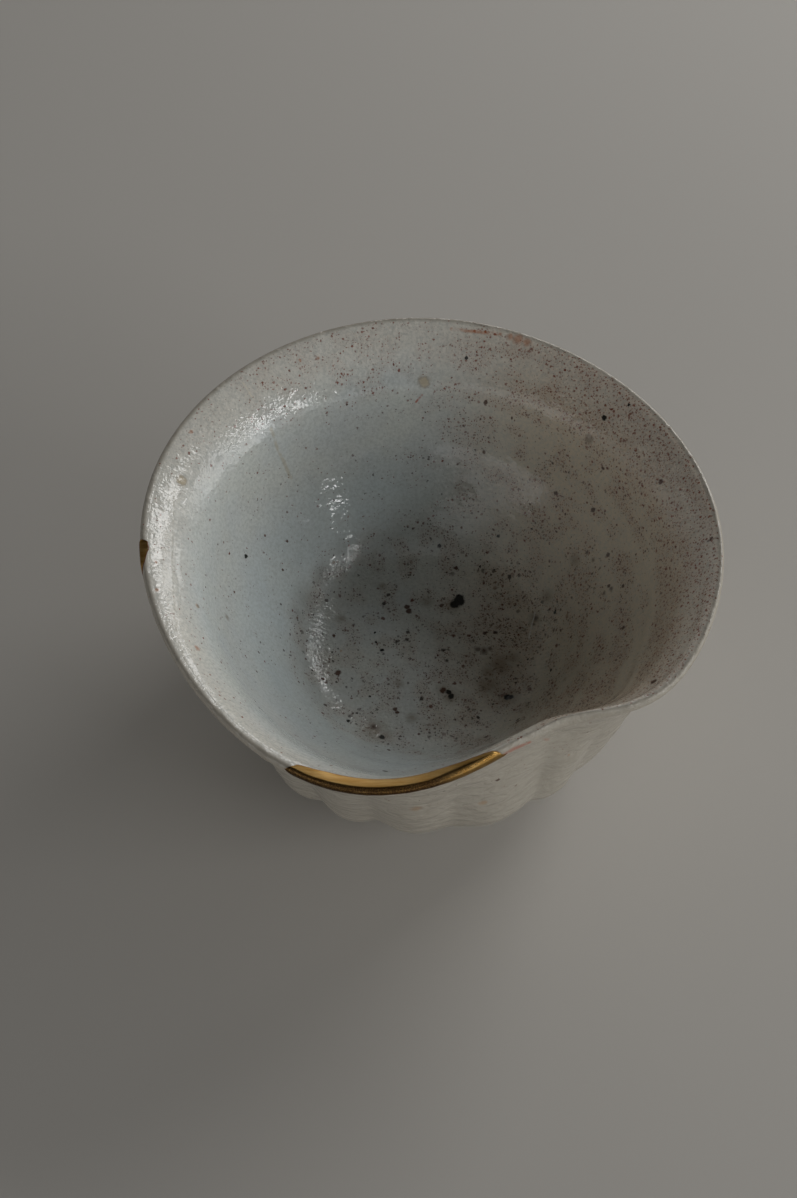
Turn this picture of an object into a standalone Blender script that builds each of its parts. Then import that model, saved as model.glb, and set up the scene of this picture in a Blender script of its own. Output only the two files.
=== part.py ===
# Kintsugi tea bowl: a small fluted bowl in pale glazed ware, warped in the kiln, its lip folded inward
# at the front right, with two breaks in the rim filled in gold lacquer.
# Metres, +Z up. The origin is under the middle of the rim's outline, on the level of the foot's underside.
# The front of the bowl faces -Y.
import bpy
import bmesh
from math import atan2, cos, exp, pi, radians, sin, sqrt
from mathutils import Vector

# Overall size of the turned form, before the warp
RIM_RADIUS = 0.0609
BOWL_HEIGHT = 0.0600

# Inside of the wall: (radius, depth below the top of the lip), from the edge of the well up to the lip
INNER_CURVE = (
    (0.0290, 0.0389),
    (0.0344, 0.0330),
    (0.0392, 0.0274),
    (0.0429, 0.0223),
    (0.0455, 0.0173),
    (0.0471, 0.0130),
    (0.0489, 0.0089),
    (0.0519, 0.0047),
    (0.0544, 0.0024),
    (0.0572, 0.0006),
)
INNER_ROWS = 10

# Outside of the wall: (radius, depth below the top of the lip), from under the lip to the foot
OUTER_CURVE = (
    (0.0599, 0.0036),
    (0.0570, 0.0070),
    (0.0543, 0.0120),
    (0.0521, 0.0200),
    (0.0501, 0.0290),
    (0.0479, 0.0375),
    (0.0448, 0.0460),
    (0.0390, 0.0515),
    (0.0310, 0.0540),
)
OUTER_ROWS = 10

# Rounded top of the lip between the two curves
LIP_TOP = (0.0588, 0.0)
LIP_SHOULDER = (0.0603, 0.0007)
LIP_EDGE = (RIM_RADIUS, 0.0020)
OUTER_SIDE = (LIP_SHOULDER, LIP_EDGE) + OUTER_CURVE

# Round well sunk into the floor inside
WELL_RADIUS = 0.0225
WELL_STEP = 0.0040
WELL_SLOPE = 0.60
WELL_RIM_DEPTH = 0.0437
FLOOR_SAG = 0.0011
FLOOR_ROWS = ((0.0, 1.0), (0.7, 0.75), (0.9, 0.45), (1.0, 0.0))

# Foot ring and the underside inside it
FOOT_OUTER_RADIUS = 0.0292
FOOT_INNER_RADIUS = 0.0252
FOOT_HEIGHT = 0.0050
FOOT_EDGE = 0.0007
FOOT_TAPER = 0.0006
UNDERSIDE_RISE = 0.0008

# Flutes cut by eye down the outside: lobes between soft grooves, each groove some degrees off even spacing
FLUTES = 20
STEPS_PER_FLUTE = 6
FLUTE_DEPTH = 0.0013
FIRST_GROOVE = radians(-136.0)
GROOVE_SHIFTS = (
    0.0, -2.2, -3.9, -1.5, 3.5, 0.2, 1.6, -1.4, 2.4, -2.0,
    0.8, 1.9, -1.2, -2.6, 1.1, 2.2, -0.7, -1.8, 1.3, -0.9,
)
SHIFT_FULL_DEPTH = 0.0120
FLUTE_FADE_TOP = 0.0060
FLUTE_FULL_TOP = 0.0300
FLUTE_FULL_LOW = 0.0500
FLUTE_FADE_LOW = 0.0545

# The warp takes hold between these shares of the rim's radius, so the foot and the well stay round
WARP_START = 0.3
WARP_FULL = 0.7

# Middle of the fired rim's outline in X and Y, measured from the middle of the foot ring
RIM_MIDDLE_X = 0.00078
RIM_MIDDLE_Y = 0.00095

# Waves of the warped rim's plan: (lobes, swing, angle of a crest)
RIM_WAVES = (
    (1, 0.0005, radians(29.0)),
    (2, 0.0013, radians(-75.6)),
    (3, 0.0008, radians(19.5)),
    (4, 0.0004, radians(-5.6)),
)

# Share by which the upper wall is thinned from the inside: least at the back left, where the lip
# flares wide, and most opposite, where it stands almost upright
THINNING = 0.21
THINNING_SWING = 0.36
THICK_ANGLE = radians(115.0)
THINNING_TOP = 0.0030
THINNING_PEAK = 0.0070
THINNING_END = 0.0280

# The lip is narrower in the fold: share taken off its inner side, and the depths over which that fades out
NARROWING = 0.55
NARROWING_ANGLE = radians(-64.0)
NARROWING_SPREAD = radians(9.0)
NARROWING_START = 0.0010
NARROWING_END = 0.0055

# Fold pushed into the lip at the front right
DENT_DEPTH = 0.0106
DENT_ANGLE = radians(-64.3)
DENT_SPREAD_RIGHT = radians(12.9)
DENT_SPREAD_LEFT = radians(20.8)
DENT_POWER = 2.3
DENT_REACH = 0.0400
DENT_FADE = 1.2


# Lacquer fills: GAP is the clearance left all round them, LIFT how far the lacquer stands above the glaze
GAP = 0.0003
LIFT = 0.0003
NOTCH_LIFT = 4.0 * LIFT
SKIN_POINTS = 7
BED_POINTS = 4
BED_ROUNDNESS = 0.6
BLUNT_END = 0.16

# Section over the lip that the fills follow: (radius, depth), from its inner side over the top to its outer
LIP_SECTION = INNER_CURVE[-2:] + (LIP_TOP, LIP_SHOULDER, LIP_EDGE) + OUTER_CURVE[:2]
LIP_STEPS = 60

# Each fill: where it lies round the rim, how far it reaches over the lip (measured along the surface
# from the top of the lip, inward negative), where its ends taper to, and its depth
RIM_REPAIR = {
    "name": "rim_repair",
    "middle": radians(-95.5),
    "half_turn": radians(20.4),
    "inner_reach": -0.0030,
    "outer_reach": 0.0038,
    "tip": 0.0020,
    "depth": 0.0020,
    "stations": 24,
}
CHIP_REPAIR = {
    "name": "chip_repair",
    "middle": radians(-174.7),
    "half_turn": radians(4.0),
    "inner_reach": 0.0004,
    "outer_reach": 0.0046,
    "tip": 0.0028,
    "depth": 0.0010,
    "stations": 8,
}

TURNED_STEPS = FLUTES * STEPS_PER_FLUTE
MERGE_DISTANCE = 0.00005


def clear_scene():
    for old in list(bpy.data.objects):
        bpy.data.objects.remove(old, do_unlink=True)


def new_collection(name):
    collection = bpy.data.collections.new(name)
    bpy.context.scene.collection.children.link(collection)
    return collection


def new_material(name, colour, roughness, metallic):
    material = bpy.data.materials.new(name)
    material.use_nodes = True
    shader = material.node_tree.nodes["Principled BSDF"]
    shader.inputs["Base Color"].default_value = (*colour, 1.0)
    shader.inputs["Roughness"].default_value = roughness
    shader.inputs["Metallic"].default_value = metallic
    return material


def smoothstep(low, high, value):
    t = min(1.0, max(0.0, (value - low) / (high - low)))
    return t * t * (3.0 - 2.0 * t)


def turn_from(angle, centre):
    # signed angle from the centre angle, between -pi and pi
    return (angle - centre + pi) % (2.0 * pi) - pi


def curve_at(points, share):
    # Catmull-Rom curve through the points, read at a share of its length in points (0 to 1)
    last = len(points) - 1
    place = min(max(share, 0.0), 1.0) * last
    index = min(int(place), last - 1)
    t = place - index
    before = Vector(points[max(index - 1, 0)])
    here = Vector(points[index])
    following = Vector(points[index + 1])
    after = Vector(points[min(index + 2, last)])
    rise = (following - before) * t
    bend = (2.0 * before - 5.0 * here + 4.0 * following - after) * t ** 2
    twist = (3.0 * here - before - 3.0 * following + after) * t ** 3
    return 0.5 * (2.0 * here + rise + bend + twist)


def wall_profile():
    # section of the turned form as (radius, height): floor middle, inside wall, lip, outside wall, foot
    floor = [(WELL_RADIUS * out, WELL_RIM_DEPTH + FLOOR_SAG * sag) for out, sag in FLOOR_ROWS]
    floor.append((WELL_RADIUS + WELL_STEP, WELL_RIM_DEPTH - WELL_STEP * WELL_SLOPE))
    inside = [tuple(curve_at(INNER_CURVE, row / INNER_ROWS)) for row in range(INNER_ROWS + 1)]
    lip = [LIP_TOP, LIP_SHOULDER, LIP_EDGE]
    outside = [tuple(curve_at(OUTER_CURVE, row / OUTER_ROWS)) for row in range(OUTER_ROWS + 1)]
    foot_top = BOWL_HEIGHT - FOOT_HEIGHT
    foot = [
        (FOOT_OUTER_RADIUS + FOOT_TAPER, foot_top),
        (FOOT_OUTER_RADIUS, BOWL_HEIGHT - FOOT_EDGE),
        (FOOT_OUTER_RADIUS - FOOT_EDGE, BOWL_HEIGHT),
        (FOOT_INNER_RADIUS + FOOT_EDGE, BOWL_HEIGHT),
        (FOOT_INNER_RADIUS, BOWL_HEIGHT - FOOT_EDGE),
        (FOOT_INNER_RADIUS - FOOT_TAPER, foot_top - UNDERSIDE_RISE),
        (0.0, foot_top - 2.0 * UNDERSIDE_RISE),
    ]
    section = floor + inside + lip + outside + foot
    return [(radius, BOWL_HEIGHT - depth) for radius, depth in section]


def radius_at_depth(curve, depth):
    for (r0, d0), (r1, d1) in zip(curve, curve[1:]):
        if min(d0, d1) <= depth <= max(d0, d1):
            return r0 + (r1 - r0) * (depth - d0) / (d1 - d0)
    nearest = min((curve[0], curve[-1]), key=lambda point: abs(point[1] - depth))
    return nearest[0]


def share_through_wall(radius, depth):
    # 0 on the inside face of the wall, 1 on its outside face
    inner = radius_at_depth(INNER_CURVE, depth)
    outer = radius_at_depth(OUTER_SIDE, depth)
    return min(1.0, max(0.0, (radius - inner) / (outer - inner)))


def flute_carving(angle, depth):
    # how far the outside is cut in: nothing on a lobe's crest, the full depth in a groove
    phase = (angle - FIRST_GROOVE) / (2.0 * pi) * FLUTES
    band = smoothstep(FLUTE_FADE_TOP, FLUTE_FULL_TOP, depth)
    band *= 1.0 - smoothstep(FLUTE_FULL_LOW, FLUTE_FADE_LOW, depth)
    return FLUTE_DEPTH * band * (1.0 - abs(sin(pi * phase)))


def groove_shift(angle):
    place = (angle - FIRST_GROOVE) / (2.0 * pi) * FLUTES
    index = int(place // 1)
    here = GROOVE_SHIFTS[index % FLUTES]
    following = GROOVE_SHIFTS[(index + 1) % FLUTES]
    return radians(here + (following - here) * (place - index))


def thinning(angle, depth):
    amount = THINNING - THINNING_SWING * cos(angle - THICK_ANGLE)
    fade = 1.0 - smoothstep(THINNING_PEAK, THINNING_END, depth)
    return amount * smoothstep(-THINNING_TOP, THINNING_TOP, depth) * fade


def narrowing(angle, depth):
    turn = turn_from(angle, NARROWING_ANGLE) / NARROWING_SPREAD
    return NARROWING * exp(-0.5 * turn ** 2) * (1.0 - smoothstep(NARROWING_START, NARROWING_END, depth))


def dent_shape(angle):
    # 1 in the middle of the fold, falling away faster on its right side than on its left
    turn = turn_from(angle, DENT_ANGLE)
    spread = DENT_SPREAD_RIGHT if turn > 0.0 else DENT_SPREAD_LEFT
    return exp(-0.5 * abs(turn / spread) ** DENT_POWER)


def warped(radius, angle, depth):
    # the place in the fired pot of a point of the turned form
    share = share_through_wall(radius, depth)
    hold = smoothstep(WARP_START, WARP_FULL, radius / RIM_RADIUS)
    carried = smoothstep(0.0, BOWL_HEIGHT, BOWL_HEIGHT - depth) * radius / RIM_RADIUS
    radius -= flute_carving(angle, depth) * share
    angle += groove_shift(angle) * share * smoothstep(LIP_EDGE[1], SHIFT_FULL_DEPTH, depth)
    radius += thinning(angle, depth) * hold * max(0.0, radius_at_depth(OUTER_SIDE, depth) - radius)
    radius += narrowing(angle, depth) * max(0.0, RIM_RADIUS - radius)
    for lobes, swing, crest in RIM_WAVES:
        radius += carried * swing * cos(lobes * (angle - crest))
    radius -= DENT_DEPTH * dent_shape(angle) * hold * max(0.0, 1.0 - depth / DENT_REACH) ** DENT_FADE
    x = radius * cos(angle) - RIM_MIDDLE_X
    y = radius * sin(angle) - RIM_MIDDLE_Y
    return Vector((x, y, BOWL_HEIGHT - depth))


def turned_mesh(name, section, steps):
    # a section at +X turned once around Z
    mesh = bpy.data.meshes.new(name)
    mesh.from_pydata([(r, 0.0, z) for r, z in section], [(i, i + 1) for i in range(len(section) - 1)], [])
    guide = bpy.data.objects.new(name + "_guide", mesh)
    bpy.context.scene.collection.objects.link(guide)
    screw = guide.modifiers.new("turn", "SCREW")
    screw.axis = "Z"
    screw.angle = 2.0 * pi
    screw.steps = steps
    screw.render_steps = steps
    screw.use_merge_vertices = True
    screw.merge_threshold = MERGE_DISTANCE
    bpy.context.view_layer.update()
    evaluated = guide.evaluated_get(bpy.context.evaluated_depsgraph_get())
    result = bpy.data.meshes.new_from_object(evaluated)
    bpy.data.objects.remove(guide, do_unlink=True)
    bpy.data.meshes.remove(mesh)
    result.name = name
    return result


def add_part(collection, name, mesh, material):
    mesh.materials.clear()
    mesh.materials.append(material)
    mesh.shade_smooth()
    part = bpy.data.objects.new(name, mesh)
    collection.objects.link(part)
    return part


def make_bowl(collection, material):
    mesh = turned_mesh("bowl", wall_profile(), TURNED_STEPS)
    for vertex in mesh.vertices:
        x, y, z = vertex.co
        vertex.co = warped(sqrt(x * x + y * y), atan2(y, x), BOWL_HEIGHT - z)
    return add_part(collection, "bowl", mesh, material)


def lip_path():
    # points over the lip with their distance along the surface from its top, inner side negative
    points = [curve_at(LIP_SECTION, step / LIP_STEPS) for step in range(LIP_STEPS + 1)]
    distances = [0.0]
    for here, following in zip(points, points[1:]):
        distances.append(distances[-1] + (following - here).length)
    top = min(range(len(points)), key=lambda i: (points[i] - Vector(LIP_TOP)).length)
    return [(distance - distances[top], point) for distance, point in zip(distances, points)]


def over_lip(path, distance, lift):
    # the point of the lip section at this distance from its top, lifted off the surface
    for (d0, p0), (d1, p1) in zip(path, path[1:]):
        if d0 <= distance <= d1:
            break
    along = (p1 - p0).normalized()
    return p0 + (p1 - p0) * ((distance - d0) / (d1 - d0)) + Vector((along.y, -along.x)) * lift


def fill_section(fill, path, taper, clearance, lift):
    # closed outline of a fill across the lip: its skin over the surface, then its bed inside the wall
    start = fill["tip"] + (fill["inner_reach"] - fill["tip"]) * taper - clearance
    end = fill["tip"] + (fill["outer_reach"] - fill["tip"]) * taper + clearance
    skin = []
    for point in range(SKIN_POINTS + 1):
        t = point / SKIN_POINTS
        crown = 1.0 if clearance else sqrt(sin(pi * t))
        skin.append(over_lip(path, start + (end - start) * t, lift * crown))
    edge_in = over_lip(path, start, 0.0)
    edge_out = over_lip(path, end, 0.0)
    across = edge_in - edge_out
    inward = Vector((across.y, -across.x)).normalized()
    bed = []
    for point in range(1, BED_POINTS + 1):
        t = point / (BED_POINTS + 1)
        sink = fill["depth"] * taper * sin(pi * t) ** BED_ROUNDNESS + clearance
        bed.append(edge_out + across * t + inward * sink)
    return skin + bed


def lofted_solid(name, fill, clearance, lift):
    # sections of a fill joined along the rim, each mapped onto the warped pot
    stations = fill["stations"]
    reach = fill["half_turn"] + clearance / RIM_RADIUS
    path = lip_path()
    mesh = bpy.data.meshes.new(name)
    build = bmesh.new()
    rings = []
    for station in range(stations + 1):
        along = -1.0 + 2.0 * station / stations
        taper = max(BLUNT_END, sqrt(1.0 - along ** 4))
        angle = fill["middle"] + reach * along
        section = fill_section(fill, path, taper, clearance, lift)
        rings.append([build.verts.new(warped(radius, angle, depth)) for radius, depth in section])
    for ring, following in zip(rings, rings[1:]):
        for a in range(len(ring)):
            b = (a + 1) % len(ring)
            build.faces.new((ring[a], ring[b], following[b], following[a]))
    build.faces.new(rings[0])
    build.faces.new(list(reversed(rings[-1])))
    bmesh.ops.recalc_face_normals(build, faces=build.faces)
    build.to_mesh(mesh)
    build.free()
    return mesh


def make_fill(collection, cutters, bowl, fill, material):
    # the fill itself, and the broken-out notch cut for it in the bowl
    filled = add_part(collection, fill["name"], lofted_solid(fill["name"], fill, 0.0, LIFT), material)
    cutter_mesh = lofted_solid(fill["name"] + "_notch", fill, GAP, NOTCH_LIFT)
    cutter = bpy.data.objects.new(fill["name"] + "_notch", cutter_mesh)
    cutters.objects.link(cutter)
    cutter.hide_render = True
    cutter.display_type = "WIRE"
    cut = bowl.modifiers.new(fill["name"], "BOOLEAN")
    cut.operation = "DIFFERENCE"
    cut.solver = "EXACT"
    cut.object = cutter
    return filled


clear_scene()
parts = new_collection("kintsugi_tea_bowl")
cutters = new_collection("notch_cutters")
glaze = new_material("pale_glaze", (0.62, 0.66, 0.63), 0.25, 0.0)
gold = new_material("gold_lacquer", (0.75, 0.52, 0.20), 0.35, 1.0)
old_gold = new_material("worn_gold_lacquer", (0.48, 0.32, 0.12), 0.4, 1.0)
bowl = make_bowl(parts, glaze)
make_fill(parts, cutters, bowl, RIM_REPAIR, gold)
make_fill(parts, cutters, bowl, CHIP_REPAIR, old_gold)
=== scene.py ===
# Kintsugi tea bowl: the looks of a small fluted bowl in speckled pale glaze, its broken rim filled with
# lacquer and gold powder. Lengths in the dictionaries are in millimetres and angles in degrees, unless
# their name says otherwise. Angle 0 is +X, the right of the picture, and -90 is the front.
import bpy
import numpy as np
from math import cos, pi, radians, sin
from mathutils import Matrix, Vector, noise
from mathutils.bvhtree import BVHTree


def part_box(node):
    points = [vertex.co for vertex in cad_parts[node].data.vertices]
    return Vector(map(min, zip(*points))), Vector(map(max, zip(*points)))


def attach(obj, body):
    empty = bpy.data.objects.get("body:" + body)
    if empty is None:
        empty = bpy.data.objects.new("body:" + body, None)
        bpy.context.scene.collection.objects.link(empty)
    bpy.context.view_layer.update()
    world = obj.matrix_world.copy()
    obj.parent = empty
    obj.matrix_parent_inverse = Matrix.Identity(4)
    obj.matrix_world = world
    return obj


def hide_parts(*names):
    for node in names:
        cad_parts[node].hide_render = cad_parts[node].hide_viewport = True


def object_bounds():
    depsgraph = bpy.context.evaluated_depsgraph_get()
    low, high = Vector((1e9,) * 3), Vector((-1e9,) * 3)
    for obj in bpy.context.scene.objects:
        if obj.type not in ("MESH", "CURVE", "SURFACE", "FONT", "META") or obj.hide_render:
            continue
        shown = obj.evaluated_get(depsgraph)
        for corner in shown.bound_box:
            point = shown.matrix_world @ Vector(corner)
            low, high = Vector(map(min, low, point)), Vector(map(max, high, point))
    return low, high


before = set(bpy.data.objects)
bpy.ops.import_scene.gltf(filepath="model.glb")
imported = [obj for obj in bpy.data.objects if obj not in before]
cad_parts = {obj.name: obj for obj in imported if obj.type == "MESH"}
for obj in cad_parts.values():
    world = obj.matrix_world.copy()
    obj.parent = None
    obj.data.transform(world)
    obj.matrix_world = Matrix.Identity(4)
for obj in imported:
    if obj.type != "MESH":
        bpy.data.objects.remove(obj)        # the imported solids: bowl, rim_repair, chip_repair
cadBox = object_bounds()
mm = 0.001
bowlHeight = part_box("bowl")[1].z / mm
topHeight = cadBox[1].z / mm                          # with the gold fills


# Helpers for the shapes

def smoothstep(low, high, value):
    t = np.clip((value - low) / (high - low), 0.0, 1.0)
    return t * t * (3.0 - 2.0 * t)


def turnFrom(angle, centre):
    # signed angle from the centre, -180 to 180
    return (angle - centre + 180.0) % 360.0 - 180.0


def curveThrough(points, rowGaps):
    # smooth curve through the points, with rows about as far apart as the gap given at each point
    points = np.array(points, float)
    steps = np.linalg.norm(np.diff(points, axis=0), axis=1)
    places = np.concatenate([[0.0], np.cumsum(steps)])
    slopes = np.diff(points, axis=0) / steps[:, None]
    before, after = steps[:-1, None], steps[1:, None]
    bends = (slopes[:-1] * after + slopes[1:] * before) / (before + after)
    tangents = np.vstack([slopes[:1], bends, slopes[-1:]])
    rowsPerStep = steps * 2.0 / (np.array(rowGaps[:-1]) + np.array(rowGaps[1:]))
    rowsSoFar = np.concatenate([[0.0], np.cumsum(rowsPerStep)])
    rowCount = int(round(rowsSoFar[-1]))
    rows = np.interp(np.linspace(0.0, rowsSoFar[-1], rowCount + 1), rowsSoFar, places)
    index = np.clip(np.searchsorted(places, rows) - 1, 0, len(steps) - 1)
    h = steps[index][:, None]
    t = (rows - places[index])[:, None] / h
    curve = (2 * t**3 - 3 * t**2 + 1) * points[index] + (3 * t**2 - 2 * t**3) * points[index + 1]
    curve += (t**3 - 2 * t**2 + t) * h * tangents[index] + (t**3 - t**2) * h * tangents[index + 1]
    return curve, rows


def noiseAt(points, swell, seed):
    # soft noise of about -1 to 1 at points in millimetres; swell is the width of one rise
    offset = Vector((seed * 17.3, seed * 5.1, seed * 9.7))
    return np.array([noise.noise(Vector(p) / swell + offset) for p in points])


# The pot: the turned form and the way it warped in the kiln, the same as the solids behind it

potForm = {
    "rimRadius": 60.9,
    # inside of the wall from the well up to the lip: (radius, depth below the top of the lip)
    "innerWall": [
        (29.8, 39.5), (34.4, 33.6), (39.2, 27.4), (42.9, 22.3), (45.5, 17.3),
        (47.1, 13.0), (48.9, 8.8), (51.9, 5.0), (54.4, 2.6), (57.3, 0.75),
    ],
    # the rounded lip
    "lip": [(59.9, 0.0), (60.5, 0.18), (60.8, 0.65), (60.86, 1.3)],
    "reachFrom": (59.3, 0.1),                        # where distances over the lip are measured from
    # outside of the wall from under the lip to the foot
    "outerWall": [
        (59.5, 3.5), (56.8, 6.8), (54.3, 12.0), (52.1, 20.0), (50.1, 29.0),
        (47.9, 37.5), (44.8, 46.0), (39.0, 51.5), (31.0, 54.0),
    ],
    # the floor, from its middle to the edge of the well sunk in it
    "floor": [(0.0, 44.8), (10.0, 44.7), (17.0, 44.6), (20.5, 44.4), (23.0, 44.0), (24.6, 43.55), (26.0, 42.95), (27.3, 42.1),
              (28.4, 41.1)],
    # the foot ring and the underside
    "footOuter": 29.2,
    "footInner": 25.2,
    "footHeight": 5.0,
    "footEdge": 0.7,
    "footTaper": 0.6,
    "undersideRise": 0.8,
    # twenty flutes cut by eye
    "flutes": 20,
    "fluteDepth": 1.6,
    "grooveSoftness": 0.03,
    "firstGroove": -136.0,
    "grooveShifts": [
        0.0, -2.2, -3.9, -1.5, 3.5, 0.2, 1.6, -1.4, 2.4, -2.0,
        0.8, 1.9, -1.2, -2.6, 1.1, 2.2, -0.7, -1.8, 1.3, -0.9,
    ],
    "shiftFull": 12.0,
    "fluteBand": (6.0, 30.0, 50.0, 54.5),
    # thinner upper wall towards the front right
    "thinning": 0.21,
    "thinningSwing": 0.36,
    "thickAngle": 115.0,
    "thinningTop": 3.0,
    "thinningFade": (7.0, 28.0),
    # narrower lip in the fold: (share, angle, spread, depths over which it fades out)
    "foldNarrowing": (0.55, -64.0, 9.0, (1.0, 5.5)),
    # waves of the rim's plan: (lobes, swing, angle of a crest)
    "waves": [(1, 0.5, 29.0), (2, 1.3, -75.6), (3, 0.8, 19.5), (4, 0.4, -5.6)],
    "warpStart": 0.3,
    "warpFull": 0.7,
    # the fold pushed into the lip
    "dentDepth": 10.6,
    "dentAngle": -64.3,
    "dentRight": 12.9,
    "dentLeft": 20.8,
    "dentPower": 2.3,
    "dentReach": 40.0,
    "dentFade": 1.2,
    # middle of the rim's outline from the middle of the foot
    "rimMiddle": (0.78, 0.95),
    "columns": 490,
}
innerSide = np.array(potForm["innerWall"][::-1])
outerSide = np.array(potForm["lip"][1:] + potForm["outerWall"])


def thinningAt(angle, depth):
    amount = potForm["thinning"] - potForm["thinningSwing"] * np.cos(np.radians(angle - potForm["thickAngle"]))
    band = smoothstep(-potForm["thinningTop"], potForm["thinningTop"], depth)
    return amount * band * (1.0 - smoothstep(*potForm["thinningFade"], depth))


def fluteAt(angle, depth):
    # 0 on a lobe's crest, 1 at the bottom of a groove, softly rounded there
    phase = (angle - potForm["firstGroove"]) / 360.0 * potForm["flutes"]
    start, full, low, end = potForm["fluteBand"]
    band = smoothstep(start, full, depth) * (1.0 - smoothstep(low, end, depth))
    soft, crest = potForm["grooveSoftness"], np.sqrt(1.0 + potForm["grooveSoftness"])
    return band * (crest - np.sqrt(np.sin(pi * phase) ** 2 + soft)) / (crest - np.sqrt(soft))


def grooveShiftAt(angle):
    place = ((angle - potForm["firstGroove"]) / 360.0 * potForm["flutes"]) % potForm["flutes"]
    shifts = potForm["grooveShifts"] + potForm["grooveShifts"][:1]
    return np.interp(place, np.arange(len(shifts)), shifts)


def dentAt(angle):
    turn = turnFrom(angle, potForm["dentAngle"])
    spread = np.where(turn > 0.0, potForm["dentRight"], potForm["dentLeft"])
    return np.exp(-0.5 * np.abs(turn / spread) ** potForm["dentPower"])


def firedPot(radius, angle, depth):
    # where points of the turned form are in the fired pot, in millimetres
    radius, angle, depth = np.broadcast_arrays(radius, angle, depth)
    inner = np.interp(depth, innerSide[:, 1], innerSide[:, 0])
    outer = np.interp(depth, outerSide[:, 1], outerSide[:, 0])
    share = np.clip((radius - inner) / (outer - inner), 0.0, 1.0)
    rim = potForm["rimRadius"]
    hold = smoothstep(potForm["warpStart"], potForm["warpFull"], radius / rim)
    carried = smoothstep(0.0, bowlHeight, bowlHeight - depth) * radius / rim
    fired = radius - potForm["fluteDepth"] * fluteAt(angle, depth) * share
    angle = angle + grooveShiftAt(angle) * share * smoothstep(potForm["lip"][-1][1], potForm["shiftFull"], depth)
    fired = fired + thinningAt(angle, depth) * hold * np.maximum(0.0, outer - fired)
    narrowing, middle, spread, fade = potForm["foldNarrowing"]
    narrowing = narrowing * np.exp(-0.5 * (turnFrom(angle, middle) / spread) ** 2) * (1.0 - smoothstep(*fade, depth))
    fired = fired + narrowing * np.maximum(0.0, rim - fired)
    for lobes, swing, crest in potForm["waves"]:
        fired = fired + carried * swing * np.cos(np.radians(lobes * (angle - crest)))
    fade = np.maximum(0.0, 1.0 - depth / potForm["dentReach"]) ** potForm["dentFade"]
    fired = fired - potForm["dentDepth"] * dentAt(angle) * hold * fade
    x = fired * np.cos(np.radians(angle)) - potForm["rimMiddle"][0]
    y = fired * np.sin(np.radians(angle)) - potForm["rimMiddle"][1]
    return np.stack([x, y, bowlHeight - depth], axis=-1), share


def potSection():
    # the whole section as (radius, depth), from the floor's middle over the lip to the underside's middle
    p = potForm
    footTop = bowlHeight - p["footHeight"]
    edge = p["footEdge"]
    foot = [
        (p["footOuter"] + p["footTaper"] + 0.5, footTop - 0.3),
        (p["footOuter"] + p["footTaper"], footTop + 0.4),
        (p["footOuter"], bowlHeight - edge),
        (p["footOuter"] - 0.3 * edge, bowlHeight - 0.3 * edge),
        (p["footOuter"] - edge, bowlHeight),
        (p["footInner"] + edge, bowlHeight),
        (p["footInner"] + 0.3 * edge, bowlHeight - 0.3 * edge),
        (p["footInner"], bowlHeight - edge),
        (p["footInner"] - p["footTaper"], footTop - p["undersideRise"]),
        (p["footInner"] - p["footTaper"] - 1.0, footTop - p["undersideRise"] - 0.3),
        (0.0, footTop - 2.0 * p["undersideRise"]),
    ]
    parts = [
        (p["floor"], [1.1, 1.0, 0.9, 0.8, 0.7, 0.6, 0.5, 0.5, 0.5]),
        (p["innerWall"], [0.7, 0.9, 0.9, 0.9, 0.9, 0.9, 0.8, 0.6, 0.5, 0.4]),
        (p["lip"], [0.35, 0.3, 0.3, 0.4]),
        (p["outerWall"], [0.5, 0.7, 0.9, 1.0, 1.0, 1.0, 0.9, 0.9, 0.8]),
        (foot, [0.4, 0.5, 0.4, 0.25, 0.4, 0.4, 0.25, 0.4, 0.5, 1.0, 4.0]),
    ]
    points = [point for part, gaps in parts for point in part]
    rowGaps = [gap for part, gaps in parts for gap in gaps]
    section = curveThrough(points, rowGaps)[0]
    section[:, 1] = np.clip(section[:, 1], 0.0, bowlHeight)     # nothing above the lip or below the foot
    return section


# Small unevenness of a hand-made pot, added along the surface's own direction

handMarks = {
    # soft rises inside and outside: (width, height)
    "insideSwells": [(24.0, 0.18), (8.0, 0.05)],
    "outsideSwells": [(14.0, 0.24), (5.5, 0.20), (2.4, 0.09)],
    # throwing rings left inside: (depth, height, width, angle of their clearest part, spread)
    "rings": [
        (19.5, 0.06, 1.6, 0.0, 40.0),
        (30.5, 0.06, 1.8, 25.0, 50.0),
        (2.9, -0.10, 0.35, -177.0, 22.0),            # crease along the lip's inner edge, left
    ],
    # ripples round the outside: (pitch, height)
    "ridges": [(4.4, 0.06), (2.5, 0.02)],
    "neck": (4.3, 0.38, 1.1),                        # soft hollow under the lip: depth, how far in, width
    "fluteUneven": 0.35,                             # share by which a groove is deeper or shallower
}


def buildGrid(name, points, closeEnds):
    # a mesh from rows of points round the pot; the first and last row close to a point where asked
    rows, columns = points.shape[:2]
    start = 0
    vertices = points.reshape(-1, 3)
    ring = np.arange(columns)
    following = (ring + 1) % columns
    quads = []
    for row in range(rows - 1):
        a, b = start + row * columns, start + (row + 1) * columns
        quads.append(np.stack([a + ring, a + following, b + following, b + ring], axis=1))
    faces = [tuple(face) for face in np.concatenate(quads).tolist()]
    if closeEnds:
        first, last = points[0].mean(axis=0), points[-1].mean(axis=0)
        vertices = np.vstack([vertices, first, last])
        top = (rows - 1) * columns
        count = rows * columns
        faces += [(count, b, a) for a, b in zip(ring.tolist(), following.tolist())]
        faces += [(count + 1, top + a, top + b) for a, b in zip(ring.tolist(), following.tolist())]
    mesh = bpy.data.meshes.new(name)
    mesh.from_pydata((vertices * mm).tolist(), [], faces)
    mesh.validate()
    return mesh


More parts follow.
